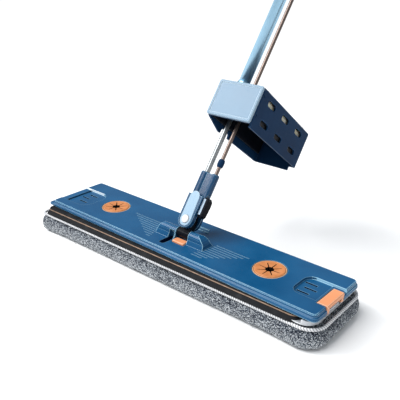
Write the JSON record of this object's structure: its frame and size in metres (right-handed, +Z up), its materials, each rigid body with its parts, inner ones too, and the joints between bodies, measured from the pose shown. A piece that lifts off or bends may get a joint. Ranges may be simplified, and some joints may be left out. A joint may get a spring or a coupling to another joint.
{
  "type": "self-wringing flat mop",
  "caption": "Flat mop with a soft pad under a ribbed swivel plate, twin rods and a sliding roller wringer box on its pole.",
  "frame": {"origin": "centre of the mop pad's flat sole, on the floor", "axes": "+X along the head's long side, towards the end with the latch; +Y to the back, the way the pole leans; +Z up from the floor"},
  "size_m": [0.4375, 0.7768, 1.0114],
  "materials": {
    "blue_gloss": "gloss moulded plastic",
    "blue_light": "gloss moulded plastic",
    "blue_dark": "semi-gloss moulded plastic",
    "blue_tube": "glossy blue coating on steel tube",
    "black": "matte moulded plastic",
    "strip_rubber": "matte rubber",
    "tan_bead": "matte",
    "silver": "satin",
    "steel": "bright drawn",
    "orange": "satin soft plastic",
    "pale": "satin",
    "white": "gloss",
    "cream_foam": "fine foam rubber",
    "pad_grey": "tufted speckled microfibre",
    "piping_white": "overlocked edge cord",
    "grip_black": "soft foam rubber"
  },
  "bodies": {
    "head": {"cover_plate": "blue_gloss", "rubber_strip": "strip_rubber", "strip_bead": "tan_bead", "carrier_plate": "silver", "mop_pad": "pad_grey", "pad_piping": "piping_white", "clamp_disc_left": "orange", "clamp_disc_right": "orange", "disc_rim_left": "pale", "disc_rim_right": "pale", "lean_pin": "steel", "latch_pin": "steel"},
    "latch": {"end_latch": "orange"},
    "tab": {"press_tab": "orange"},
    "swivel": {"knuckle": "black"},
    "mast": {"sleeve": "blue_gloss", "sleeve_face": "blue_light", "flip_pin": "steel", "pin_cap": "white", "guide_rod": "steel", "pull_rod": "steel", "stop_bead": "blue_dark", "pull_grip": "grip_black"},
    "slider": {"release_slider": "black", "slider_stripe": "white"},
    "carriage": {"wringer_box": "blue_dark", "front_panel": "blue_light", "roller_axle_upper": "steel", "roller_axle_lower": "steel", "wiper_bar": "black", "box_screw_front": "steel", "box_screw_back": "steel", "tube_collar": "blue_tube", "handle_tube": "blue_tube", "rod_grommet": "black", "top_grip": "grip_black", "hanging_cap": "blue_gloss"},
    "roller_upper": {"squeeze_roller_upper": "cream_foam"},
    "roller_lower": {"squeeze_roller_lower": "grip_black"}
  },
  "joints": [
    {"name": "lean", "type": "hinge", "parent": "head", "child": "swivel", "pos_m": [0.0094, -0.0094, 0.0505], "axis": [1, 0, 0], "range_deg": [-23, 67]},
    {"name": "flip", "type": "hinge", "parent": "swivel", "child": "mast", "pos_m": [0.0094, 0.00041, 0.06352], "axis": [0, -0.7986, 0.6018], "range_deg": [-52, 52]},
    {"name": "box_slide", "type": "slide", "parent": "mast", "child": "carriage", "axis": [0, -0.6018, -0.7986], "range_m": [-0.1, 0.05]},
    {"name": "slider_move", "type": "slide", "parent": "mast", "child": "slider", "axis": [0, 0.6018, 0.7986], "range_m": [-0.0022, 0.0022]},
    {"name": "latch_lift", "type": "hinge", "parent": "head", "child": "latch", "pos_m": [0.2005, -0.0063, 0.0408], "axis": [0, -1, 0], "range_deg": [0, 22]},
    {"name": "tab_press", "type": "slide", "parent": "head", "child": "tab", "axis": [0, 0, -1], "range_m": [0, 0.0012], "stiffness_N_per_m": 400, "springref_m": -0.002},
    {"name": "roller_upper_spin", "type": "hinge", "parent": "carriage", "child": "roller_upper", "pos_m": [0.0405, 0.13057, 0.16978], "axis": [0, 0.7986, -0.6018], "continuous": true},
    {"name": "roller_lower_spin", "type": "hinge", "parent": "carriage", "child": "roller_lower", "pos_m": [0.0405, 0.11613, 0.15061], "axis": [0, 0.7986, -0.6018], "continuous": true}
  ]
}
